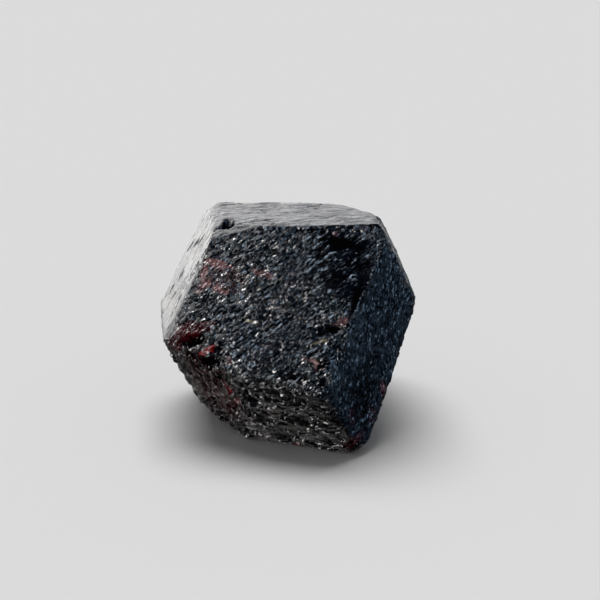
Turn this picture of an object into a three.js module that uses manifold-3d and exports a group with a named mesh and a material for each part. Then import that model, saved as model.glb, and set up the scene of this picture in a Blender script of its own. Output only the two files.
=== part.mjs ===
// A single loose garnet crystal (almandine), resting on one of its own faces.
//
// Garnet grows as a rhombic dodecahedron: twelve lozenge faces that meet at 120 degrees. This one is a
// little uneven, as natural crystals are, so each growth face has its own direction and its own distance
// from the heart of the crystal. The solid is made the way the shape arises: a rough block is cleaved
// along each face in turn, every edge is worn to a narrow flat, the corners are blunted, and a few
// shell-shaped chips are broken out.
//
// Units are millimetres and +Z is up. The origin is on the surface that the crystal stands on, below
// the centre of its bounding box. The front face looks towards -Y.

import * as THREE from "three";
import { mergeVertices } from "three/addons/utils/BufferGeometryUtils.js";
import Module from "manifold-3d";

// ---------------------------------------------------------------- driving dimensions

const BLOCK = 60; // edge of the rough block, larger than the finished crystal
const EDGE_WEAR = 0.15; // how deep an edge between two growth faces is worn
const CORNER_WEAR = 0.35; // how deep a corner is blunted where nothing more has happened to it
const NEIGHBOUR_ANGLE = 78; // degrees; growth faces closer than this share an edge
const CHIP_SEGMENTS = 48; // round a chip's sphere

// Each growth face: azimuth (0 faces -Y, 90 faces +X), elevation above level, and its distance from
// the heart of the crystal. A perfect dodecahedron standing on a face would have elevations of 90,
// 30, 0 and -30 degrees.
const growthFaces = {
  top: { azimuth: -104.5, elevation: 86, distance: 17.15 },
  front: { azimuth: -13, elevation: 29, distance: 14.6 },
  left: { azimuth: -83.5, elevation: 29.5, distance: 17.35 },
  right: { azimuth: 45.5, elevation: 4, distance: 17.4 },
  frontUnder: { azimuth: -17.5, elevation: -29, distance: 16.65 },
  leftUnder: { azimuth: -83, elevation: -25, distance: 16.5 },
  rightUpper: { azimuth: 93, elevation: 25, distance: 19.2 },
  rightUnder: { azimuth: 98.5, elevation: -25, distance: 14.05 },
  backUpper: { azimuth: 165, elevation: 30, distance: 15.15 },
  backUnder: { azimuth: 167, elevation: -30, distance: 17.25 },
  backLeft: { azimuth: -138.5, elevation: 0, distance: 17.1 },
  base: { azimuth: 0, elevation: -90, distance: 14.05 },
};

// A narrow trapezohedral face that truncates the edge between frontUnder and leftUnder.
const truncations = {
  cornerUnder: { azimuth: -34.5, elevation: -24.5, distance: 16.45 },
};

// The corners that are named below, by the faces that meet there. The first three fix the point.
const corners = {
  topLeft: ["top", "front", "left"],
  topRight: ["top", "front", "right"],
  chin: ["front", "right", "frontUnder"],
  shoulder: ["front", "left", "cornerUnder"],
  farLeft: ["left", "leftUnder", "backLeft"],
  farRight: ["right", "rightUpper", "rightUnder"],
  frontFoot: ["right", "frontUnder", "base", "rightUnder"],
  leftFoot: ["cornerUnder", "leftUnder", "base"],
  brow: ["front", "frontUnder", "cornerUnder"],
  topBackLeft: ["top", "left", "backLeft"],
  topBackRight: ["top", "rightUpper", "backUpper"],
  backLeftFoot: ["leftUnder", "backLeft", "base"],
};

// Corners that are worn more than the rest, and how deep.
const blunted = { frontFoot: 1.5, farRight: 0.6, topBackRight: 2.3, leftFoot: 0.8, brow: 0.08 };

// Shell-shaped chips: where each lies between two named corners (0 is at the first), the radius of its
// hollow, how deep it goes, and the face that it leans towards.
const chips = [
  { between: ["shoulder", "brow"], share: 0.33, radius: 7.5, depth: 1.1, lean: "front" },
  { between: ["shoulder", "topLeft"], share: 0.07, radius: 5, depth: 0.6, lean: "left" },
  { between: ["chin", "topRight"], share: 0.27, radius: 5, depth: 0.75, lean: "front" },
  { between: ["farRight", "frontFoot"], share: 0.31, radius: 1.6, depth: 0.4, lean: "right" },
  { between: ["leftFoot", "shoulder"], share: 0.12, radius: 3, depth: 0.5, lean: "leftUnder" },
  { between: ["topLeft", "topRight"], share: 0.3, radius: 3, depth: 0.3, lean: "front" },
  { between: ["backLeftFoot", "farLeft"], share: 0.35, radius: 4, depth: 0.8, lean: "leftUnder" },
];

// A small square-cornered etch pit in the top face. Its place is measured from the topLeft corner:
// along the front edge, and inward from that edge.
const PIT = { along: 0.5, inward: 4.2, width: 1.35, length: 3.0, depth: 0.9 };

// ---------------------------------------------------------------- solids

const wasm = await Module();
wasm.setup();

function toSolid(geometry) {
  const bare = geometry.clone();
  bare.deleteAttribute("normal");
  bare.deleteAttribute("uv");
  const merged = mergeVertices(bare, 1e-4);
  return new wasm.Manifold(
    new wasm.Mesh({
      numProp: 3,
      vertProperties: merged.attributes.position.array,
      triVerts: new Uint32Array(merged.index.array),
    }),
  );
}

function toGeometry(solid) {
  const mesh = solid.getMesh();
  const geometry = new THREE.BufferGeometry();
  geometry.setAttribute("position", new THREE.BufferAttribute(mesh.vertProperties, 3));
  geometry.setIndex(new THREE.BufferAttribute(mesh.triVerts, 1));
  geometry.computeVertexNormals();
  return geometry;
}

// ---------------------------------------------------------------- faces and corners

const faces = { ...growthFaces, ...truncations };

function normalOf(name) {
  const a = THREE.MathUtils.degToRad(faces[name].azimuth);
  const e = THREE.MathUtils.degToRad(faces[name].elevation);
  return new THREE.Vector3(Math.sin(a) * Math.cos(e), -Math.cos(a) * Math.cos(e), Math.sin(e));
}

// The point where three faces meet.
function cornerOf(names) {
  const [a, b, c] = names.slice(0, 3).map(normalOf);
  const bc = new THREE.Vector3().crossVectors(b, c);
  const ca = new THREE.Vector3().crossVectors(c, a);
  const ab = new THREE.Vector3().crossVectors(a, b);
  const [da, db, dc] = names.map((name) => faces[name].distance);
  return bc.clone().multiplyScalar(da).addScaledVector(ca, db).addScaledVector(ab, dc)
    .divideScalar(a.dot(bc));
}

// The outward direction halfway between several faces.
function outwardOf(names) {
  return names.map(normalOf).reduce((sum, n) => sum.add(n), new THREE.Vector3()).normalize();
}

// ---------------------------------------------------------------- cuts

// Cuts away everything beyond the plane that lies at a distance along a normal.
function cleave(solid, normal, distance) {
  const waste = new THREE.BoxGeometry(2 * BLOCK, 2 * BLOCK, 2 * BLOCK);
  waste.translate(0, 0, distance + BLOCK);
  waste.applyQuaternion(
    new THREE.Quaternion().setFromUnitVectors(new THREE.Vector3(0, 0, 1), normal),
  );
  return solid.subtract(toSolid(waste));
}

// Breaks out a shell-shaped chip, as deep as given below a point on an edge.
function chip(solid, point, outward, radius, depth) {
  const hollow = new THREE.SphereGeometry(radius, CHIP_SEGMENTS, CHIP_SEGMENTS / 2);
  const centre = point.clone().addScaledVector(outward, radius - depth);
  hollow.translate(centre.x, centre.y, centre.z);
  return solid.subtract(toSolid(hollow));
}

// ---------------------------------------------------------------- the crystal

let crystal = toSolid(new THREE.BoxGeometry(BLOCK, BLOCK, BLOCK));
for (const name of Object.keys(faces)) {
  crystal = cleave(crystal, normalOf(name), faces[name].distance);
}

// An edge is worn square to the line halfway between its two faces.
const grown = Object.keys(growthFaces);
grown.forEach((one, i) =>
  grown.slice(i + 1).forEach((other) => {
    const halfway = normalOf(one).add(normalOf(other));
    const apart = THREE.MathUtils.radToDeg(normalOf(one).angleTo(normalOf(other)));
    if (apart > NEIGHBOUR_ANGLE) return;
    const edgeDistance = (faces[one].distance + faces[other].distance) / halfway.length();
    crystal = cleave(crystal, halfway.normalize(), edgeDistance - EDGE_WEAR);
  }),
);

for (const [name, meeting] of Object.entries(corners)) {
  const outward = outwardOf(meeting);
  const reach = cornerOf(meeting).dot(outward);
  crystal = cleave(crystal, outward, reach - (blunted[name] ?? CORNER_WEAR));
}

for (const { between, share, radius, depth, lean } of chips) {
  const [from, to] = between.map((name) => corners[name]);
  const shared = from.filter((name) => to.includes(name));
  const point = cornerOf(from).lerp(cornerOf(to), share);
  const outward = outwardOf([...shared, lean]);
  crystal = chip(crystal, point, outward, radius, depth);
}

const pitNormal = normalOf("top");
const pitAlong = cornerOf(corners.topRight).sub(cornerOf(corners.topLeft)).normalize();
const pitInward = new THREE.Vector3().crossVectors(pitNormal, pitAlong);
const pitCentre = cornerOf(corners.topLeft)
  .addScaledVector(pitAlong, PIT.along)
  .addScaledVector(pitInward, PIT.inward);
const pit = new THREE.BoxGeometry(PIT.width, PIT.length, 2 * PIT.depth);
pit.applyMatrix4(new THREE.Matrix4().makeBasis(pitAlong, pitInward, pitNormal));
pit.translate(pitCentre.x, pitCentre.y, pitCentre.z);
crystal = crystal.subtract(toSolid(pit));

const geometry = toGeometry(crystal);
geometry.computeBoundingBox();
const { min, max } = geometry.boundingBox;
geometry.translate(-(min.x + max.x) / 2, -(min.y + max.y) / 2, -min.z);

const garnet = new THREE.Mesh(
  geometry,
  new THREE.MeshStandardMaterial({ color: 0x1c1114, roughness: 0.35, metalness: 0 }),
);
garnet.name = "garnet_crystal";

const part = new THREE.Group();
part.add(garnet);

export default part;
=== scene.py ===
# %% [markdown]
# # A garnet crystal
#
# Almandine garnet grows as a rhombic dodecahedron: twelve lozenge faces that meet at 120 degrees. This
# crystal lay loose in a stream or a soil, so its faces are etched into small glassy pits and ridges, its
# edges are worn and chipped, and deep red shows only where it is broken or rubbed. From a little way off
# it looks black.
#
# The lesson goes from the large to the small: the camera, the light, the flat faces, a fine mesh made
# from the plain solid, the relief that is sunk into that mesh, the places where the colour changes, and
# the material that adds what is finer than the mesh.

# %% Load the solid model
import math

import bmesh
import bpy
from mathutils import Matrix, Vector, noise


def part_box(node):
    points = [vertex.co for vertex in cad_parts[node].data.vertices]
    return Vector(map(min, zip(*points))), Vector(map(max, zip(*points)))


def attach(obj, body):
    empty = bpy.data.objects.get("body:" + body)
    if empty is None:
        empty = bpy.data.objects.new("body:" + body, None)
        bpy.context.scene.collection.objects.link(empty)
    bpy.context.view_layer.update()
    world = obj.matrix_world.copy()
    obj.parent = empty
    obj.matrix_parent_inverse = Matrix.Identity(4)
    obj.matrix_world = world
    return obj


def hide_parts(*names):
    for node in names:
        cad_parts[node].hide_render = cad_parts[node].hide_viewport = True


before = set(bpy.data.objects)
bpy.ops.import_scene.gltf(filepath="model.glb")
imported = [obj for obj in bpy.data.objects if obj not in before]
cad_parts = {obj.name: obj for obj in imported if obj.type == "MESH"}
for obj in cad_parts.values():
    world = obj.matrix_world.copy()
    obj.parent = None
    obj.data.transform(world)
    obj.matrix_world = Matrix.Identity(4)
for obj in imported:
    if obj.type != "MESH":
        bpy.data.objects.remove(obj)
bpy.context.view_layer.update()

MM = 0.001  # Blender works in metres, and the sizes of a small crystal read better in millimetres
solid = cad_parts["garnet_crystal"]
low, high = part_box("garnet_crystal")
middle = (low + high) / 2
size_mm = [round(x / MM, 1) for x in high - low]
print("solid:", len(solid.data.polygons), "triangles,", size_mm, "mm")

# %% [markdown]
# ## The camera
#
# A crystal is looked at from slightly above, and fills about half of the frame. A longer lens from
# further away would flatten it, so the camera stays about five crystal widths off.

# %% Camera
CAMERA_DISTANCE = 194.25 * MM
CAMERA_ELEVATION = math.radians(20)
CAMERA_LENS = 77.7  # on the default sensor, 36 mm wide
AIM_OFFSET = Vector((2.24, 1.2, 1.56)) * MM  # from the middle of the crystal's box

back = Vector((0, -math.cos(CAMERA_ELEVATION), math.sin(CAMERA_ELEVATION)))
camera = bpy.data.objects.new("camera", bpy.data.cameras.new("camera"))
camera.data.lens = CAMERA_LENS
camera.data.clip_start = 1 * MM
camera.location = middle + AIM_OFFSET + back * CAMERA_DISTANCE
camera.rotation_euler = (math.pi / 2 - CAMERA_ELEVATION, 0, 0)
bpy.context.scene.collection.objects.link(camera)
bpy.context.scene.camera = camera
print("camera at", [round(x / MM, 1) for x in camera.location], "mm")

# %% [markdown]
# ## Node graphs as sums
#
# A procedural material is a formula. Drawn as nodes it is hard to read, so a small class wraps the output
# of a node and turns Python's own operators into Math nodes. Everything else, such as a noise or a ramp,
# comes from one method that takes the node's type, its settings and its inputs. A step, a mix of two
# colours and the sums on vectors are short forms of that method.

# %% A socket that can be added and multiplied
class Socket:
    def __init__(self, graph, output):
        self.graph = graph
        self.output = output

    def __add__(self, other):
        return self.graph.math("ADD", self, other)

    def __radd__(self, other):
        return self.graph.math("ADD", other, self)

    def __sub__(self, other):
        return self.graph.math("SUBTRACT", self, other)

    def __rsub__(self, other):
        return self.graph.math("SUBTRACT", other, self)

    def __mul__(self, other):
        return self.graph.math("MULTIPLY", self, other)

    def __rmul__(self, other):
        return self.graph.math("MULTIPLY", other, self)

    def other(self, name):
        """Another output of the same node."""
        return Socket(self.graph, self.output.node.outputs[name])


class Graph:
    """Adds nodes to the node tree of a material or a world."""

    def __init__(self, tree):
        self.tree = tree
        tree.nodes.clear()

    def add(self, kind, settings=None, inputs=None, output=0):
        """A node of this kind. settings may hold a ramp's stops, and inputs hold values or sockets."""
        node = self.tree.nodes.new(kind)
        for name, value in (settings or {}).items():
            if name == "stops":
                self.set_stops(node.color_ramp, value)
            else:
                setattr(node, name, value)
        for name, value in (inputs or {}).items():
            if isinstance(value, Socket):
                self.tree.links.new(value.output, node.inputs[name])
            else:
                node.inputs[name].default_value = value
        if not node.outputs:
            return None
        return Socket(self, node.outputs[output])

    def set_stops(self, ramp, stops):
        while len(ramp.elements) < len(stops):
            ramp.elements.new(1.0)
        for element, (place, colour) in zip(ramp.elements, stops):
            element.position = place
            element.color = (*colour, 1.0)

    def math(self, operation, *values):
        return self.add("ShaderNodeMath", {"operation": operation}, dict(enumerate(values)))

    def vector(self, operation, *values, output="Vector"):
        inputs = dict(enumerate(values))
        return self.add("ShaderNodeVectorMath", {"operation": operation}, inputs, output)

    def step(self, value, start, end):
        """0 below start, 1 above end, and smooth between them."""
        settings = {"interpolation_type": "SMOOTHSTEP"}
        inputs = {"Value": value, "From Min": start, "From Max": end}
        return self.add("ShaderNodeMapRange", settings, inputs)

    def mix(self, factor, colour_a, colour_b):
        """A Mix node has sockets for each kind of data. Inputs 6 and 7 and output 2 are for colours."""
        inputs = {0: factor, 6: colour_a, 7: colour_b}
        return self.add("ShaderNodeMix", {"data_type": "RGBA"}, inputs, 2)


# %% [markdown]
# ## Floor and light
#
# Black, glassy stone shows almost nothing of its own colour. What it shows is the room, mirrored in its
# faces. So the light is a large soft tent that is bright behind and to the left, where the top face and
# the left face find it at a glancing angle, and dim towards the front and the right. Distant lamps stand
# in for windows and sky, and make the facets flash: warm ones from the left, blue ones from above and from
# the right, and one small sharp one for the hardest glints.
#
# The pale floor needs an even light that the stone mustn't mirror, and the highlights on the stone mustn't
# show on the floor. So each light works on one of the two. The tent and most of the lamps are seen only in
# mirrors, two lamps light only what is matt, and mirrors see past the floor, which keeps the faces on the
# right deep.

# %% A tent of light
TENT_BRIGHT_SIDE = Vector((-0.60, 0.79, -0.08)).normalized()
# From the dark side of the tent, at 0, to the bright side, at 1: the place and the light's colour.
TENT_STOPS = [
    (0.00, (0.004, 0.005, 0.009)),
    (0.20, (0.008, 0.012, 0.022)),
    (0.36, (0.014, 0.016, 0.022)),
    (0.58, (0.080, 0.080, 0.085)),
    (0.74, (0.82, 0.83, 0.85)),
    (0.88, (1.85, 1.86, 1.90)),
    (1.00, (3.50, 3.46, 3.42)),
]
TENT_PEAK = 4.0  # a ramp holds at most 1, so its colours are divided by this and the light is raised
TENT_HEM = (-0.25, -0.12)  # where the tent fades out below the horizon
TENT_UNDERSIDE = 0.12  # the share of its light that is left below the hem

world = bpy.data.worlds.new("tent")
world.use_nodes = True
bpy.context.scene.world = world
graph = Graph(world.node_tree)
towards = graph.add("ShaderNodeTexCoord", output="Generated")  # in a world, this is the direction
facing = graph.vector("DOT_PRODUCT", towards, TENT_BRIGHT_SIDE, output="Value")
rise = graph.vector("DOT_PRODUCT", towards, (0, 0, 1), output="Value")
stops = [(place, tuple(c / TENT_PEAK for c in colour)) for place, colour in TENT_STOPS]
tent = graph.add("ShaderNodeValToRGB", {"stops": stops}, {"Fac": facing * 0.5 + 0.5})
share = TENT_UNDERSIDE + (1 - TENT_UNDERSIDE) * graph.step(rise, *TENT_HEM)
glow = graph.add("ShaderNodeBackground", inputs={"Color": tent, "Strength": TENT_PEAK * share})
graph.add("ShaderNodeOutputWorld", inputs={"Surface": glow})
world.cycles_visibility.diffuse = False
print("tent:", len(stops), "stops, up to", TENT_STOPS[-1][1])

# %% Lamps
def sun(name, towards, strength, angle, colour=(1, 1, 1), lights_paper=False):
    """A distant lamp. towards points from the crystal to the lamp."""
    lamp = bpy.data.objects.new(name, bpy.data.lights.new(name, "SUN"))
    lamp.data.energy = strength
    lamp.data.angle = math.radians(angle)
    lamp.data.color = colour
    lamp.rotation_euler = Vector(towards).to_track_quat("Z", "Y").to_euler()
    lamp.visible_diffuse = lights_paper
    lamp.visible_glossy = not lights_paper
    bpy.context.scene.collection.objects.link(lamp)
    print(f"{name}: {strength} W/m2 over {angle} degrees")


WARM = (1.0, 0.95, 0.94)

# name, direction, strength in W/m2, angle in degrees, colour
sun("overhead", (-0.10, 0.24, 0.97), 2.35, 44, lights_paper=True)
sun("dome", (0, 0, 1), 0.65, 170, lights_paper=True)
sun("window", (-0.87, -0.36, 0.35), 1.75, 30, (1.0, 0.97, 0.95))
sun("sky", (-0.50, -0.12, 0.86), 0.72, 28, (0.62, 0.80, 1.0))
sun("blue sky", (0.90, -0.18, 0.40), 0.95, 50, (0.46, 0.70, 1.0))
sun("blue wall", (0.97, -0.01, -0.18), 0.19, 60, (0.43, 0.67, 1.0))
sun("bounce", (-0.45, 0.0, -0.89), 0.18, 60, WARM)
sun("low window", (-0.72, -0.38, -0.58), 0.60, 18, WARM)
sun("spark", (-0.80, -0.28, 0.53), 0.52, 8)

# %% Floor
FLOOR_SIDE = 6.0  # m, so that its far edge is out of sight
FLOOR_GAP = 0.02 * MM  # under the crystal, so that two surfaces don't lie in one plane
PAPER = (0.765, 0.765, 0.765, 1)  # a pale neutral grey

floor_mesh = bmesh.new()
bmesh.ops.create_grid(floor_mesh, x_segments=1, y_segments=1, size=FLOOR_SIDE / 2)
bmesh.ops.translate(floor_mesh, vec=(0, 0, low.z - FLOOR_GAP), verts=floor_mesh.verts)
floor = bpy.data.objects.new("floor", bpy.data.meshes.new("floor"))
floor_mesh.to_mesh(floor.data)
floor_mesh.free()
bpy.context.scene.collection.objects.link(floor)
floor.visible_glossy = False

paper = bpy.data.materials.new("pale paper")
paper.use_nodes = True
graph = Graph(paper.node_tree)
surface = graph.add("ShaderNodeBsdfDiffuse", inputs={"Color": PAPER})
graph.add("ShaderNodeOutputMaterial", inputs={"Surface": surface})
floor.data.materials.append(paper)
bpy.context.scene.view_settings.view_transform = "Standard"  # shows the paper's grey as it is
print("floor at", round((low.z - FLOOR_GAP) / MM, 2), "mm")

# %% [markdown]
# ## The growth faces
#
# Everything that follows is placed on the crystal's faces, so their planes come first. They are measured
# on the solid model: the triangles that look in about one direction are one face. Each face gets its own
# frame, with `across` level, `up` along the face, and its origin at the middle of the face.
#
# The mesh of an imported node is a bag of loose triangles. Merging its doubled vertices on a copy makes it
# one closed skin.

# %% Merge the solid's triangles
DOUBLED = 0.001 * MM  # vertices closer than this are one

skin = bmesh.new()
skin.from_mesh(solid.data)
bmesh.ops.remove_doubles(skin, verts=skin.verts, dist=DOUBLED)
print("skin:", len(skin.verts), "vertices, closed:", all(len(e.link_faces) == 2 for e in skin.edges))

# %% Measure the planes
# Rough directions: azimuth from the front towards the right, and elevation, in degrees.
FACE_DIRECTIONS = {
    "top": (-104.5, 86),
    "front": (-13, 29),
    "left": (-83.5, 29.5),
    "right": (45.5, 4),
    "front_under": (-17.5, -29),
    "left_under": (-83, -25),
    "right_upper": (93, 25),
    "right_under": (98.5, -25),
    "back_upper": (165, 30),
    "back_under": (167, -30),
    "back_left": (-138.5, 0),
    "corner_under": (-34.5, -24.5),
    "base": (0, -90),
}
SAME_DIRECTION = math.cos(math.radians(1.5))
NEARLY_LEVEL = 0.15  # a face whose level line is shorter than this takes the world's x instead


class GrowthFace:
    """A flat face of the crystal: its name, area, outward normal, middle and level direction."""

    def __init__(self, name, azimuth, elevation):
        a, e = math.radians(azimuth), math.radians(elevation)
        rough = Vector((math.sin(a) * math.cos(e), -math.cos(a) * math.cos(e), math.sin(e)))
        flats = [f for f in skin.faces if f.normal.dot(rough) > SAME_DIRECTION]
        self.name = name
        self.area = sum(f.calc_area() for f in flats)
        self.normal = sum((f.normal * f.calc_area() for f in flats), Vector()).normalized()
        self.origin = sum((f.calc_center_median() * f.calc_area() for f in flats), Vector()) / self.area
        self.reach = self.normal.dot(self.origin)
        level = Vector((0, 0, 1)).cross(self.normal)
        if level.length < NEARLY_LEVEL:
            level = Vector((1, 0, 0))
        self.across = (level - self.normal * level.dot(self.normal)).normalized()
        self.up = self.normal.cross(self.across)

    def depth(self, point):
        """How far a point lies below the face."""
        return self.reach - self.normal.dot(point)

    def place(self, across_mm, up_mm):
        """The point on the face at these distances from its origin."""
        return self.origin + (self.across * across_mm + self.up * up_mm) * MM


faces = [GrowthFace(name, *direction) for name, direction in FACE_DIRECTIONS.items()]
face_of = {face.name: face for face in faces}
for face in faces:
    print(f"{face.name:13s} {face.area / MM**2:6.1f} mm2, origin", [round(x / MM, 1) for x in face.origin])

# %% [markdown]
# ## A fine, even mesh
#
# The solid has fewer than two thousand long triangles, which can't carry any relief. A voxel remesh turns
# it into small squares of one size, whatever the direction of a face. Their side is chosen so that the
# whole piece stays under 200 000 triangles and the narrowest pits are still three squares wide.
#
# Two rounds of smoothing then round the edges a little, as tumbling does.

# %% Remesh
SQUARE = 0.256 * MM  # side of the fine mesh's squares
WEAR_ROUNDS = 2
WEAR_SHARE = 0.5  # how far each round moves a vertex towards the middle of its neighbours

blank = bpy.data.objects.new("blank", bpy.data.meshes.new("blank"))
skin.to_mesh(blank.data)
bpy.context.scene.collection.objects.link(blank)
remesh = blank.modifiers.new("fine mesh", "REMESH")
remesh.mode = "VOXEL"
remesh.voxel_size = SQUARE
fine = bmesh.new()
fine.from_object(blank, bpy.context.evaluated_depsgraph_get())
bpy.data.objects.remove(blank)
skin.free()
for _ in range(WEAR_ROUNDS):
    bmesh.ops.smooth_vert(
        fine, verts=fine.verts, factor=WEAR_SHARE, use_axis_x=True, use_axis_y=True, use_axis_z=True
    )
fine.normal_update()
triangles = sum(len(f.verts) - 2 for f in fine.faces)
print("fine mesh:", len(fine.verts), "vertices,", triangles, "triangles")

# %% [markdown]
# ## Etching
#
# Water and soil eat a garnet along its lattice, so each face has a grain of its own: short glassy shards,
# all leaning one way. The faces below are eaten deepest, and the front one of them is drawn out into
# level streaks. The right face is finer, and the top and the left stay smooth, almost satin.
#
# The pattern is made of Voronoi cells. Each cell is one shard, which tilts its own way, and some have a
# gap round them, which gets painted shade as if light got lost in it. It is sampled in the face's own
# frame, turned to the grain and stretched along it. The relief lies about the face, partly above it and
# partly below, so that the crystal keeps the size of its solid.

# %% The grain of each face
GAP_PAINTED_SHADE = 0.45  # how much painted shade a gap between shards gets, except on a satin face, where it gets none


class Grain:
    """Shards: depth, length and width in mm, and the turn of their long axis from `across`, in degrees.

    bump is the strength of the fine facets. warmth goes from 0 for navy to 1 for brown. satin adds
    roughness, and painted_gloom adds painted shade all over the face."""

    def __init__(self, depth, length, width, turn, bump, warmth, satin=0.0, painted_gloom=0.0):
        self.depth = depth
        self.length = length
        self.width = width
        self.cos = math.cos(math.radians(turn))
        self.sin = math.sin(math.radians(turn))
        self.bump = bump
        self.warmth = warmth
        self.satin = satin
        self.painted_gloom = painted_gloom
        self.gap_painted_shade = 0.0 if satin else GAP_PAINTED_SHADE


# warmth is partly random tone and partly painted reflection: navy on the right-hand faces and brown on the
# faces below stand in for what they mirror.
GRAINS = {
    "top": Grain(0.10, 2.8, 1.1, 2, 0.34, 0.5, satin=0.24),
    "front": Grain(0.28, 2.1, 0.76, 42, 1.15, 0.3, painted_gloom=0.09),
    "left": Grain(0.12, 2.4, 1.1, 95, 0.36, 0.6, satin=0.24),
    "right": Grain(0.25, 1.7, 0.80, 66, 1.00, 0.0, satin=0.06, painted_gloom=0.06),
    "front_under": Grain(0.50, 3.6, 0.90, -3, 0.80, 0.8, painted_gloom=0.14),
    "left_under": Grain(0.36, 2.4, 0.90, 20, 0.90, 0.7),
    "right_upper": Grain(0.24, 1.9, 0.85, 70, 0.80, 0.1, satin=0.08),
    "right_under": Grain(0.34, 2.6, 0.85, 12, 0.90, 0.3),
    "back_upper": Grain(0.36, 2.2, 0.80, 35, 1.00, 0.4),
    "back_under": Grain(0.42, 3.0, 0.90, 5, 0.95, 0.7),
    "back_left": Grain(0.30, 2.3, 0.90, 110, 0.80, 0.6, satin=0.06),
    "corner_under": Grain(0.54, 2.0, 0.80, -62, 2.10, 1.0, painted_gloom=0.18),
    "base": Grain(0.08, 1.6, 0.80, 30, 0.60, 0.6, satin=0.15),
}
print(len(GRAINS), "grains, up to", max(grain.depth for grain in GRAINS.values()), "mm deep")

# %% Where a point lies in its face's pattern
SLICE_SPACING = 11.0  # each face cuts its own slice of the pattern
SLICE_START = 0.5


def shard_place(index, point):
    """A point in the pattern of its face: one unit is one shard, along and across the grain."""
    face = faces[index]
    grain = GRAINS[face.name]
    offset = (point - face.origin) / MM
    across, up = offset.dot(face.across), offset.dot(face.up)
    along_grain = (across * grain.cos + up * grain.sin) / grain.length
    over_grain = (up * grain.cos - across * grain.sin) / grain.width
    return Vector((along_grain, over_grain, SLICE_SPACING * index + SLICE_START))


front = face_of["front"]
there = shard_place(faces.index(front), front.place(10, 0))
print("10 mm across the front face is", round(there.xy.length, 1), "shards from its middle")

# %% How deep the etching goes at one point
def smoothstep(value, start, end):
    """0 below start, 1 above end, and smooth between them."""
    share = min(max((value - start) / (end - start), 0.0), 1.0)
    return share * share * (3 - 2 * share)


# Depths are shares of the grain's own depth, and sizes are counted in shards.
MEAN_DEPTH = 0.35
TILT = 1.5  # how steeply a shard leans
STEP = 0.25  # how much higher one shard stands than another
GAP_DEPTH = 0.65
GAP = 0.22  # half width of the gap between two shards
GAP_PATCHES = (-0.25, 0.35)  # gaps are shut where a slow noise is below the first, open above the second
GAP_PATCH_RATE = 0.45  # how fast that noise changes
TOOTH = 0.25  # a fine unevenness on top
TOOTH_RATE = 2.3
BEND = 0.45  # how far the pattern is pushed out of line
BEND_SIZE = 1.1
BEND_SHIFTS = (Vector((7.3, 2.1, 0.4)), Vector((-4.6, 9.8, 1.7)))  # so that across and up differ
OWN_NUMBERS = 17.0  # spreads the shards' middles, so that each draws numbers of its own


def etched(place):
    """How deep a point is, from about 0 on the crests to 1 in the gaps, and how much of a gap it is."""
    bend = [BEND * noise.noise(place / BEND_SIZE + shift) for shift in BEND_SHIFTS]
    place = place + Vector((*bend, 0))
    distances, centres = noise.voronoi(place)
    own = noise.cell_vector(centres[0] * OWN_NUMBERS)
    offset = place - centres[0]
    lean = (own.x - 0.5) * offset.x + (own.y - 0.5) * offset.y
    gap = 1 - smoothstep(distances[1] - distances[0], 0.0, GAP)
    gap *= smoothstep(noise.noise(place * GAP_PATCH_RATE), *GAP_PATCHES)
    tooth = noise.noise(place * TOOTH_RATE)
    return MEAN_DEPTH + TILT * lean + STEP * (own.z - 0.5) + GAP_DEPTH * gap + TOOTH * tooth, gap


samples = [etched(Vector((0.37 * i, 0.61 * i, 0)))[0] for i in range(200)]
print("etching: from", round(min(samples), 2), "to", round(max(samples), 2), "of the grain's depth")

# %% [markdown]
# ## Hollows, chips and stains
#
# What happened to this crystal after it grew is a short list of places: on which face, how far across and
# up from the middle of the face, how large, and how strong. A hollow is sunk into the mesh. A break is a
# small plane that takes off an edge or a corner. A calm place has a weaker grain, and a shade is a place
# with painted shade, black in its cracks or all over, as if light stayed in it. A stain is a mask that the
# material turns into a colour: `deep_red` where the glassy inside of the stone is laid open, `bright_red`
# where light gets through it, `scuff` where a ridge is rubbed to pink powder, and `ochre` for a little
# soil left in a groove.
#
# All but the breaks are soft ovals, so one class does for them.

# %% A place on a face
RAGGED_RIM = 0.8  # mm, how far the rim of a spot wanders
MOST_RAGGED = 1.2  # against the spot's own size


class Spot:
    """A soft oval on a face. It is 1 at its middle and 0 beyond its rim.

    across, up, half_length and half_width are in mm, and turn is in degrees. rim says where it starts to
    fade and where it ends, against its own size."""

    def __init__(self, face, across, up, half_length, half_width, turn, strength, rim=(0.55, 1.25)):
        self.face = face_of[face]
        self.centre = self.face.place(across, up)
        angle = math.radians(turn)
        self.long_axis = self.face.across * math.cos(angle) + self.face.up * math.sin(angle)
        self.short_axis = self.face.normal.cross(self.long_axis)
        self.half_length = half_length * MM
        self.half_width = half_width * MM
        self.strength = strength
        self.rim = rim
        self.far = 2 * max(self.half_length, self.half_width)  # well outside the rim
        self.raggedness = min(RAGGED_RIM / half_width, MOST_RAGGED)

    def at(self, point, unevenness):
        """The spot's strength at a point. unevenness is the value of a noise there."""
        offset = point - self.centre
        if offset.length > self.far:
            return 0.0
        along = offset.dot(self.long_axis) / self.half_length
        over = offset.dot(self.short_axis) / self.half_width
        below = offset.dot(self.face.normal) / self.far
        spread = math.sqrt(along * along + over * over + below * below)
        return self.strength * (1 - smoothstep(spread + unevenness * self.raggedness, *self.rim))


def spots(rows):
    return [Spot(*row) for row in rows]


def total(group, point, unevenness):
    """How strong a group of spots is together at a point."""
    return sum(spot.at(point, unevenness) for spot in group)


middle_spot = Spot("front", 0, 0, 2, 1, 0, 1.0)
steps = [middle_spot.at(front.place(0.5 * i, 0), 0) for i in range(6)]
print("a spot of half length 2, every half millimetre:", [round(value, 2) for value in steps])

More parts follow.
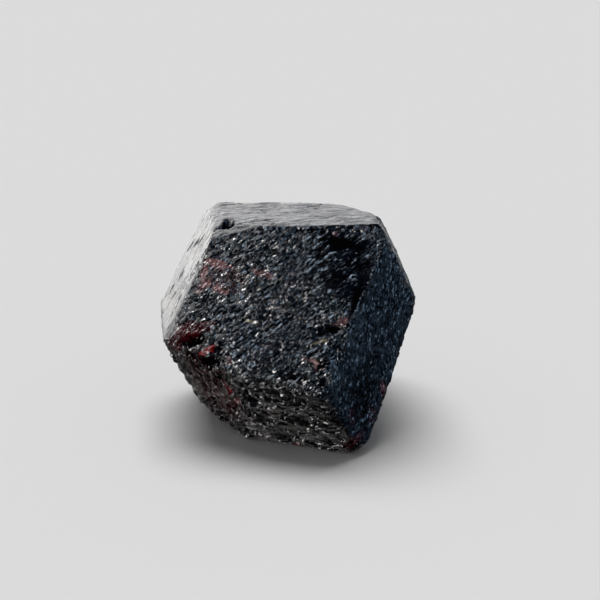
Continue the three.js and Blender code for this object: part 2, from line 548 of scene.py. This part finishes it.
# %% Hollows
# face, across, up, half length, half width, turn, strength (how deep, in mm), rim
HOLLOWS = [
    ("top", -8.65, -2.2, 1.0, 1.8, 0, 1.8, (0.75, 1.0)),
    ("front_under", 1.0, 4.3, 6.5, 0.6, -4, 0.40),
    ("front_under", -7.0, -6.2, 1.2, 0.8, 0, 0.3),
    ("front", -11.3, -6.1, 2.0, 1.0, 20, 1.30, (0.50, 1.0)),
    ("front", -7.6, -8.2, 1.5, 0.9, 80, 0.50),
    ("corner_under", 0.2, 5.4, 1.7, 1.0, 20, 0.75),
    ("front", 7.6, -3.3, 2.3, 0.7, 18, 0.60),
    ("front_under", -5.6, 3.6, 1.8, 0.8, -30, 0.55),
    ("front_under", -1.2, -3.6, 2.0, 0.5, -12, 0.30),
    ("left", -2.8, 3.4, 1.0, 0.35, 50, 0.50),
    ("left", -5.6, 1.9, 1.1, 0.40, 70, 0.45),
    ("left", -1.0, 4.6, 0.9, 0.30, 75, 0.40),
    ("left", -0.4, -1.6, 1.0, 0.30, 75, 0.35),
    ("left", -2.3, -4.7, 1.1, 0.35, 75, 0.40),
    ("left", 2.0, -4.0, 0.9, 0.30, 60, 0.30),
    ("top", -3.9, -2.6, 1.6, 0.7, 0, 0.10),
    ("back_upper", 4.0, -3.0, 2.6, 1.2, 30, 0.35),
    ("back_upper", -6.0, 5.0, 1.8, 0.9, -20, 0.30),
    ("right_under", 3.0, 2.0, 2.4, 1.0, 50, 0.30),
    ("back_left", -3.0, -4.0, 2.2, 1.1, 80, 0.35),
    ("left_under", 2.0, 1.0, 2.4, 0.9, 15, 0.30),
]
hollows = spots(HOLLOWS)
print(len(hollows), "hollows, up to", max(spot.strength for spot in hollows), "mm deep")

# %% Breaks
# The plane leans away from its face, by `lean` degrees, beyond a line that lies `distance` mm from the
# middle of the face in the direction `turn`. A chip that doesn't run the whole length of an edge also says
# between which places along the line, in mm, it fades in.
# face, turn in degrees, distance in mm, lean in degrees, fade
BREAKS = [
    ("front", 52, 4.5, 7),
    ("front", 122, 8.2, 7),
    ("front", 97, 9.3, 34, (-8.3, -5.2)),
    ("top", 235, 6.5, 15),
    ("top", 143, 14.6, 38),
    ("front_under", -37, 9.4, 38),
    ("corner_under", -130, 5.1, 35),
]


class Break:
    """A plane that takes off whatever stands in front of it."""

    def __init__(self, face, turn, distance, lean, fade=None):
        face = face_of[face]
        self.index = faces.index(face)
        turn, lean = math.radians(turn), math.radians(lean)
        outwards = face.across * math.cos(turn) + face.up * math.sin(turn)
        self.point = face.origin + outwards * distance * MM
        self.normal = face.normal * math.cos(lean) + outwards * math.sin(lean)
        self.along = outwards.cross(face.normal)
        self.fade = fade

    def height(self, point):
        """How far a point stands in front of the plane, and so how much of it is lost."""
        height = self.normal.dot(point - self.point)
        if self.fade is None:
            return height
        return height * smoothstep(self.along.dot(point - self.point) / MM, *self.fade)


breaks = [Break(*row) for row in BREAKS]
print(len(breaks), "breaks")

# %% Calm places
# The same columns. The strength is how much of the grain is taken away, or, below 0, how much is added.
CALM = [
    ("front", -10.9, -6.2, 2.6, 1.5, 20, 0.80),
    ("front", 9.0, 6.2, 8.0, 5.4, -62, 0.78),
    ("front", 1.0, -6.3, 8.0, 4.2, 5, 0.73),
    ("front_under", -3.2, 3.2, 1.8, 0.9, -10, 0.60),
    ("top", -8.3, -3.3, 3.6, 1.0, 0, -2.0),
    ("left", 6.3, 1.6, 7.5, 0.8, -81, -2.5),
    ("back_upper", -6.0, -4.0, 5.0, 3.5, 20, 0.60),
]
calm = spots(CALM)
print(len(calm), "calm places")

# %% Shades
# The same columns. The strength is how much painted shade a place gets: a weak one darkens its cracks, a
# strong one all of it.
SHADES = [
    ("top", -8.65, -2.2, 1.0, 1.8, 0, 1.5),
    ("front", -10.6, -6.5, 1.5, 0.6, 20, 0.55),
    ("front", -8.6, -9.0, 1.7, 0.9, 10, 0.40),
    ("front", -7.2, -6.8, 0.8, 0.6, 10, 0.50),
    ("front", 9.0, 9.4, 4.0, 1.2, 0, 0.35),
    ("front", 9.0, 5.5, 6.0, 4.0, -62, 0.35),
    ("front", 11.0, 0.6, 3.6, 0.40, 80, 0.50),
    ("front", 8.0, -3.4, 2.4, 0.5, 20, 0.40),
    ("front", 7.6, -8.4, 3.6, 0.7, 86, 0.40),
    ("front", 2.4, -9.8, 5.0, 0.7, -6, 0.40),
    ("front", 0.5, 11.2, 6.0, 0.5, 0, 0.30),
    ("corner_under", 0.0, 4.0, 4.0, 2.6, 20, 0.20),
    ("front_under", 7.6, -4.4, 2.0, 1.2, 10, 0.30),
    ("right", -2.5, -6.5, 5.5, 3.2, 75, 0.48),
]
shades = spots(SHADES)
print(len(shades), "shades")

# %% Stains
# The same columns. A strength of 1 is the full colour, as far as its speckles let it through.
STAINS = {
    "deep_red": [
        ("corner_under", 0.0, 1.0, 7.5, 3.6, -75, 0.40),
        ("front", -12.2, -5.0, 2.3, 1.4, 15, 1.0),
        ("front", -9.8, -4.2, 1.3, 0.7, 10, 0.55),
        ("corner_under", -4.4, 8.0, 1.6, 1.0, -50, 0.8),
        ("corner_under", 2.8, 5.0, 1.2, 1.0, 0, 0.35),
        ("corner_under", -3.4, -4.8, 1.0, 0.8, 0, 0.7),
        ("front_under", -5.6, -5.4, 1.3, 0.6, 0, 0.6),
        ("front_under", -0.5, -5.9, 0.9, 0.5, 0, 0.9),
        ("front_under", 8.1, -3.6, 1.8, 0.9, 30, 0.6),
        ("right", -4.9, -9.0, 0.7, 1.6, 10, 0.30),
        ("right", -0.6, -10.4, 1.0, 2.0, 20, 0.35),
        ("right", 2.0, -7.4, 0.8, 1.5, 30, 0.45),
        ("back_upper", 5.0, -6.0, 2.0, 1.0, 30, 0.6),
        ("back_left", -6.0, 3.0, 1.6, 1.2, 60, 0.5),
        ("left_under", 5.0, -3.0, 1.8, 0.9, 20, 0.6),
        ("right_under", -6.0, -4.0, 1.6, 0.8, 40, 0.5),
    ],
    "bright_red": [
        ("front", -9.5, -7.7, 0.9, 0.55, 20, 1.0),
        ("front", -8.4, -7.2, 0.75, 0.5, 35, 1.0),
        ("front_under", -0.5, -6.0, 0.4, 0.25, 0, 0.5),
        ("corner_under", 3.2, 1.4, 0.5, 0.9, 20, 0.45),
    ],
    "scuff": [
        ("front", -9.2, 4.9, 2.2, 0.6, -14, 1.1),
        ("front", -10.9, 3.4, 0.6, 1.5, -10, 0.7),
        ("front", -11.2, 1.0, 0.6, 1.2, -10, 0.6),
        ("front", -7.6, 3.0, 4.2, 2.6, -20, 0.36),
        ("front", -10.4, 1.9, 0.9, 0.7, 20, 0.8),
        ("front", -8.2, 1.2, 1.2, 0.6, -20, 0.7),
        ("front", -2.4, 4.0, 2.0, 0.6, -15, 0.62),
        ("front", 7.0, 10.2, 0.8, 0.6, 60, 1.0),
        ("front", 6.9, -8.2, 1.0, 0.55, -40, 0.9),
        ("front", 5.2, -7.5, 1.2, 0.4, -10, 0.45),
        ("front", 9.6, -1.9, 1.3, 0.8, 30, 0.6),
        ("front", -9.6, -3.6, 1.6, 0.35, 12, 0.5),
        ("front", -5.8, -8.8, 0.8, 0.8, 0, 0.5),
        ("corner_under", 2.8, 2.4, 0.5, 1.3, 22, 0.9),
        ("corner_under", 3.9, -0.6, 0.45, 0.9, 25, 0.9),
        ("right", 1.8, -6.6, 0.5, 1.3, 30, 0.5),
        ("back_upper", -3.0, 2.0, 1.8, 0.6, 20, 0.7),
        ("back_left", 4.0, -2.0, 1.4, 0.7, 100, 0.6),
        ("right_under", 5.0, 4.0, 1.6, 0.5, 10, 0.6),
    ],
    "ochre": [
        ("front", 6.9, -4.9, 1.5, 0.22, 22, 1.0),
        ("front", -3.3, -2.9, 1.6, 0.2, -2, 0.7),
        ("front_under", -0.6, -1.6, 1.2, 0.25, -15, 0.5),
        ("top", -6.3, 9.0, 0.8, 1.0, 0, 0.6),
        ("back_upper", 1.0, 6.0, 1.4, 0.25, 15, 0.6),
    ],
}
stains = {name: spots(rows) for name, rows in STAINS.items()}
print({name: len(rows) for name, rows in stains.items()})

# %% [markdown]
# ## Sinking the relief
#
# Each vertex of the fine mesh is moved along its own normal, by the sum of what the face's slow waviness,
# its grain, the wear of the nearest edge and the nibbles along it take away. The hollows go straight into
# the face that they are on. The breaks are cut first, because they decide which face a vertex belongs to
# and turn its normal. A last clamp keeps every point inside the solid's box, and the underside stays flat.
#
# In the same pass each vertex gets the numbers that the material needs there. The four stains fit in the
# red, green, blue and alpha of one attribute.

# %% What moves a point
LIFT = 0.20 * MM  # taken off every depth, so that the relief lies about the face and not below it
SWELL = 0.14  # mm, slow waviness of a face
SWELL_SIZE = 4.5  # mm
WEAR = 0.20  # mm, how far an edge is worn round
WEAR_REACH = 1.4  # mm from the edge
NIBBLE = 0.45  # mm, ragged loss along an edge
NIBBLE_REACH = 1.1  # mm from the edge
NIBBLE_SIZE = 0.9  # mm
NIBBLE_DETAIL = 0.3  # a finer noise is added to the first, at this strength
NIBBLE_FINER = 2.7  # and this many times finer
# How strongly these edges are nibbled. Any other takes the bump of its face's grain.
NIBBLED_EDGES = {
    frozenset(("front", "top")): 4.0,
    frozenset(("front", "left")): 1.3,
    frozenset(("front", "right")): 0.2,
}
LEAST_RELIEF = 0.3  # the share of the etching that even the calmest place keeps
LIVELY_MEAN = 0.95
LIVELY_SWING = 0.7
LIVELY_SIZE = 2.6  # mm
# The noise that makes the rim of a spot ragged: its strength, and its size in mm.
CALM_RIM = (0.30, 1.5)
HOLLOW_RIM = (0.35, 0.7)
STAIN_RIM = (0.45, 0.6)


def nearest_face(point, apart_from=None):
    """How far below the nearest face a point is, and the number of that face."""
    return min((face.depth(point), i) for i, face in enumerate(faces) if i != apart_from)


def unevenness(point, strength, size):
    return strength * noise.noise(point / MM / size)


def liveliness(point, index):
    """How strong the grain is: about 1, less where it is calm, and more where it is rough."""
    own_calm = [spot for spot in calm if spot.face is faces[index]]
    calmed = min(total(own_calm, point, unevenness(point, *CALM_RIM)), 1.0)
    return (1 - calmed) * (LIVELY_MEAN + LIVELY_SWING * noise.noise(point / MM / LIVELY_SIZE))


def relief(point, index, next_index, next_depth):
    """How far the surface is sunk at a point, in mm, and how much of a gap it is."""
    p = point / MM
    grain = GRAINS[faces[index].name]
    sunk = SWELL * (0.5 + noise.noise(p / SWELL_SIZE))
    sunk += WEAR * max(1 - next_depth / MM / WEAR_REACH, 0.0) ** 2
    depth, gap = etched(shard_place(index, point))
    share = LEAST_RELIEF + (1 - LEAST_RELIEF) * liveliness(point, index)
    sunk += grain.depth * (MEAN_DEPTH + (depth - MEAN_DEPTH) * share)
    close = 1 - smoothstep(next_depth / MM, 0.0, NIBBLE_REACH)
    if close > 0:
        edge = frozenset((faces[index].name, faces[next_index].name))
        bite = noise.noise(p / NIBBLE_SIZE) + NIBBLE_DETAIL * noise.noise(p / NIBBLE_SIZE * NIBBLE_FINER)
        sunk += NIBBLE * close * max(bite, 0.0) * NIBBLED_EDGES.get(edge, grain.bump)
    return sunk, gap


def loss(point):
    """Where the hollows take a point: straight into the face that each of them is on."""
    rim = unevenness(point, *HOLLOW_RIM)
    return sum((spot.face.normal * -spot.at(point, rim) for spot in hollows), Vector()) * MM


for index, face in enumerate(faces):
    next_depth, next_index = nearest_face(face.origin, apart_from=index)
    sunk, _ = relief(face.origin, index, next_index, next_depth)
    print(f"{face.name:13s} relief at its middle {sunk:.2f} mm")

# %% What the material is told
HOLLOW_PAINTED_SHADE = 0.35  # how much painted shade a deep hollow gets
HOLLOW_DEPTHS = (0.2, 0.9)  # mm deep, where the painted shade begins, and where it is whole
CLOUD_SIZE = 3.5  # mm, of the patches that lean to navy or to brown
CLOUD_RIM = 0.6
CLOUD_BIAS = 1.6  # how much a face's warmth decides between them


def brownness(point, grain):
    """0 where the black leans to navy, and 1 where it leans to brown."""
    bias = CLOUD_BIAS * (grain.warmth - 0.5)
    return smoothstep(noise.noise(point / MM / CLOUD_SIZE) + bias, -CLOUD_RIM, CLOUD_RIM)


browns = {name: round(brownness(face_of[name].origin, grain), 2) for name, grain in GRAINS.items()}
print("brown at the middle of each face:", browns)

# %% Cut the breaks
own_face = []
for vert in fine.verts:
    _, index = nearest_face(vert.co)
    for broken in breaks:
        height = broken.height(vert.co)
        if height > 0:
            vert.co -= broken.normal * height
            index = broken.index
    own_face.append(index)
fine.normal_update()
print("vertices on each face:", {face.name: own_face.count(i) for i, face in enumerate(faces)})

# %% Store the pattern's place
# It is stored on the corners of each square, because squares on two sides of an edge differ in it.
grain_layer = fine.loops.layers.float_vector.new("grain")
for face in fine.faces:
    face.smooth = True
    index = own_face[face.verts[0].index]
    for loop in face.loops:
        loop[grain_layer] = shard_place(index, loop.vert.co)
print("stored on", sum(len(face.loops) for face in fine.faces), "corners")

# %% Sink the relief
RESTING = 0.05 * MM  # whatever is this close to the floor stays flat
RESTING_FADE = 6 * RESTING  # and whatever is higher than this has its whole relief

stain_layer = fine.verts.layers.float_color.new("stain")
tone_layer = fine.verts.layers.float_vector.new("tone")
shadow_layer = fine.verts.layers.float.new("shadow")
sunk_places = []
for vert, index in zip(fine.verts, own_face):
    grain = GRAINS[faces[index].name]
    next_depth, next_index = nearest_face(vert.co, apart_from=index)
    sunk, gap = relief(vert.co, index, next_index, next_depth)
    resting = smoothstep(vert.co.z, low.z + RESTING, low.z + RESTING_FADE)
    moved = loss(vert.co)
    place = vert.co - vert.normal * (sunk * MM - LIFT) * resting + moved
    sunk_places.append(Vector(min(max(place[i], low[i]), high[i]) for i in range(3)))

    rim = unevenness(vert.co, *STAIN_RIM)
    lively = liveliness(vert.co, index)
    # painted shade: the shades, the deep hollows, the face's painted gloom and the gaps between shards
    shade = total(shades, vert.co, rim) + HOLLOW_PAINTED_SHADE * smoothstep(moved.length / MM, *HOLLOW_DEPTHS)
    vert[stain_layer] = [min(total(group, vert.co, rim), 1.0) for group in stains.values()]
    vert[tone_layer] = (grain.bump * lively, brownness(vert.co, grain), grain.satin / max(lively, 1.0))
    vert[shadow_layer] = shade + grain.painted_gloom + grain.gap_painted_shade * gap

deepest = max((vert.co - place).length for vert, place in zip(fine.verts, sunk_places))
for vert, place in zip(fine.verts, sunk_places):
    vert.co = place
print("furthest that a point has moved:", round(deepest / MM, 2), "mm")

# %% Make the crystal's object
crystal = bpy.data.objects.new("garnet", bpy.data.meshes.new("garnet"))
fine.to_mesh(crystal.data)
fine.free()
bpy.context.scene.collection.objects.link(crystal)
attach(crystal, "root")
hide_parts("garnet_crystal")
print("garnet:", len(crystal.data.vertices), "vertices")

# %% [markdown]
# ## The stone's surface
#
# Below about a quarter of a millimetre the mesh gives way to the material. One bump makes small tilted
# facets, which flash one by one as the stone turns, with a fine seam between them. It follows the grain
# that is stored on the mesh. The colour is nearly black, and the masks on the mesh let the reds, pinks
# and ochres through.
#
# A bump can't make a crack dark, because a bumped surface still mirrors the room. So in the seams, the
# hollows and the shades a plain black surface is mixed in, which mirrors nothing: this is painted shade.

# %% The stone's colours
GARNET_IOR = 1.78
# The black's own dark tone, partly painted reflection: navy for mirrored blue sky, brown for mirrored
# warm, dark surroundings.
NAVY = (0.0012, 0.0030, 0.0085, 1)
BROWN = (0.0044, 0.0029, 0.0029, 1)
DEEP_RED = (0.085, 0.0015, 0.003, 1)
BRIGHT_RED = (0.50, 0.020, 0.014, 1)
RUSSET = (0.20, 0.062, 0.060, 1)
PINK = (0.78, 0.44, 0.44, 1)
OCHRE = (0.20, 0.18, 0.10, 1)
# painted shade: the black that is mixed in where the mesh, the seams or the crumbs call for shade
PAINTED_SHADE_BLACK = (0.0016, 0.0015, 0.0019, 1)
mirrored = ((GARNET_IOR - 1) / (GARNET_IOR + 1)) ** 2
print("garnet mirrors", round(100 * mirrored, 1), "% of the light that meets it head on")

# %% What the mesh says
almandine = bpy.data.materials.new("almandine")
almandine.use_nodes = True
graph = Graph(almandine.node_tree)


def stored(name, output):
    """What was stored on the mesh under this name."""
    return graph.add("ShaderNodeAttribute", {"attribute_name": name}, output=output)


pattern = stored("grain", "Vector")
shadow = stored("shadow", "Fac")
masks = stored("stain", "Color")
ochre = masks.other("Alpha")
mask = graph.add("ShaderNodeSeparateColor", inputs={0: masks})
deep_red, bright_red, scuff = (mask.other(name) for name in ("Red", "Green", "Blue"))
tone = graph.add("ShaderNodeSeparateXYZ", inputs={0: stored("tone", "Vector")})
lively, warmth, satin = (tone.other(name) for name in ("X", "Y", "Z"))
print("the mesh stores", [name for name in crystal.data.attributes.keys() if not name.startswith(".")])

# %% Patterns
CLOUD_RATE = 0.35  # per mm
SPECK_RATE = 3.2  # per mm
CRUMB_RATE = 4.0  # per shard, like the ones below
FACET_RATE = 2.7
SWIRL_RATE = 1.6
SWIRL = (0.5, 0.5, 0.0)  # how far the facets are pushed out of line, along and across the grain


def noise_at(where, rate, detail=2.0, roughness=0.55):
    inputs = {"Vector": where, "Scale": rate, "Detail": detail, "Roughness": roughness}
    return graph.add("ShaderNodeTexNoise", {"noise_dimensions": "3D"}, inputs, output="Fac")


def facets_at(where, rate):
    """The height of small flat facets, each tilted its own way."""
    cells = graph.add("ShaderNodeTexVoronoi", {"feature": "F1"}, {"Vector": where, "Scale": rate})
    tilt = graph.vector("SUBTRACT", cells.other("Color"), (0.5, 0.5, 0.5))
    offset = graph.vector("SUBTRACT", where, cells.other("Position"))
    return graph.vector("DOT_PRODUCT", tilt, offset, output="Value")


def seams_at(where, rate):
    """The distance from the seams between the same facets."""
    inputs = {"Vector": where, "Scale": rate}
    return graph.add("ShaderNodeTexVoronoi", {"feature": "DISTANCE_TO_EDGE"}, inputs, "Distance")


metres = graph.add("ShaderNodeTexCoord", output="Object")
place_mm = graph.vector("MULTIPLY", metres, (1 / MM, 1 / MM, 1 / MM))
cloud = noise_at(place_mm, CLOUD_RATE, detail=3.0)
speck = noise_at(place_mm, SPECK_RATE)
crumb = noise_at(pattern, CRUMB_RATE, detail=3.0, roughness=0.70)
swirl = graph.add("ShaderNodeTexNoise", inputs={"Vector": pattern, "Scale": SWIRL_RATE}, output="Color")
swirl = graph.vector("SUBTRACT", swirl, (0.5, 0.5, 0.5))
bent = graph.vector("ADD", pattern, graph.vector("MULTIPLY", swirl, SWIRL))
facets = facets_at(bent, FACET_RATE)
seams = seams_at(bent, FACET_RATE)
print("patterns:", len(almandine.node_tree.nodes), "nodes so far")

# %% The shape of the facets
FACET_SLOPE = 1.2  # how steeply they are tilted
SEAM_DEPTH = 0.04  # mm
SEAM_WIDTH = (0.0, 0.12)  # from its bottom to its rim, against a facet

height_mm = (facets * FACET_SLOPE + graph.step(seams, *SEAM_WIDTH) * SEAM_DEPTH) * lively
bump_inputs = {"Height": height_mm, "Strength": 1.0, "Distance": MM}
bump = graph.add("ShaderNodeBump", inputs=bump_inputs, output="Normal")
print("seams:", SEAM_DEPTH, "mm deep")

# %% Colour
# From the bottom up: black that leans to navy or brown, the red of fresh breaks, a russet tint round the
# scuffs, the pink powder on their ridges, soil, and the red that light comes through. Each sum says how
# ready a place is to take the colour. The two numbers of a step are where the colour begins and where it
# is whole.
CRACK_WIDTH = (0.02, 0.09)  # from the seam's painted shade to clear, against a facet
LEAST_RED = 0.55  # how much of a red place is red between its specks
MOST_TINT = 0.6  # how much of what is below it a whole tint hides, and so on
MOST_POWDER = 0.85
MOST_SOIL = 0.8

cracks = 1 - graph.step(seams, *CRACK_WIDTH)
red = deep_red * (LEAST_RED + (1 - LEAST_RED) * graph.step(speck, 0.38, 0.60))
tint = graph.step(scuff * 0.7 + speck * 0.9, 0.62, 1.0) * MOST_TINT
ridges = crumb * 1.6 + scuff * 0.30 + facets * 0.5 - cracks * 0.2
powder = graph.step(ridges, 0.96, 1.28) * graph.step(scuff, 0.1, 0.4)
soil = graph.step(ochre + speck * 0.6, 0.55, 0.95) * MOST_SOIL
lit = graph.step(bright_red, 0.15, 0.6)
lit_red = graph.mix(graph.step(crumb, 0.40, 0.58), DEEP_RED, BRIGHT_RED)

layers = [(red, DEEP_RED), (tint, RUSSET), (powder * MOST_POWDER, PINK), (soil, OCHRE), (lit, lit_red)]
colour = graph.mix(warmth, NAVY, BROWN)
for cover, paint in layers:
    colour = graph.mix(cover, colour, paint)
print("colour:", len(layers), "layers over the black")

# %% Gloss, and painted shade in the cracks
POLISH = 0.04  # the roughness of the glassiest places
CLOUDED = 0.06  # and what clouds, specks and powder add to it
SPECKLED = 0.06
POWDERED = 0.10
SEAM_PAINTED_SHADE = 0.30  # how much painted shade the seams between facets get
CRUMBLED = 1.1  # how ragged the painted shade is at its rim
PAINTED_SHADE_RIM = (0.45, 0.75)

roughness = POLISH + CLOUDED * graph.step(cloud, 0.35, 0.7) + SPECKLED * speck + POWDERED * powder + satin
stone_inputs = {"Base Color": colour, "Roughness": roughness, "IOR": GARNET_IOR, "Normal": bump}
stone = graph.add("ShaderNodeBsdfPrincipled", inputs=stone_inputs)
# Painted shade: a black matt surface, mixed in by the stored shadow, the seams and the crumbs.
black = graph.add("ShaderNodeBsdfDiffuse", inputs={"Color": PAINTED_SHADE_BLACK})
dimmed = graph.step(shadow + cracks * SEAM_PAINTED_SHADE + (crumb - 0.5) * CRUMBLED, *PAINTED_SHADE_RIM)
surface = graph.add("ShaderNodeMixShader", inputs={0: dimmed, 1: stone, 2: black})
graph.add("ShaderNodeOutputMaterial", inputs={"Surface": surface})
crystal.data.materials.append(almandine)
print("almandine:", len(almandine.node_tree.nodes), "nodes")
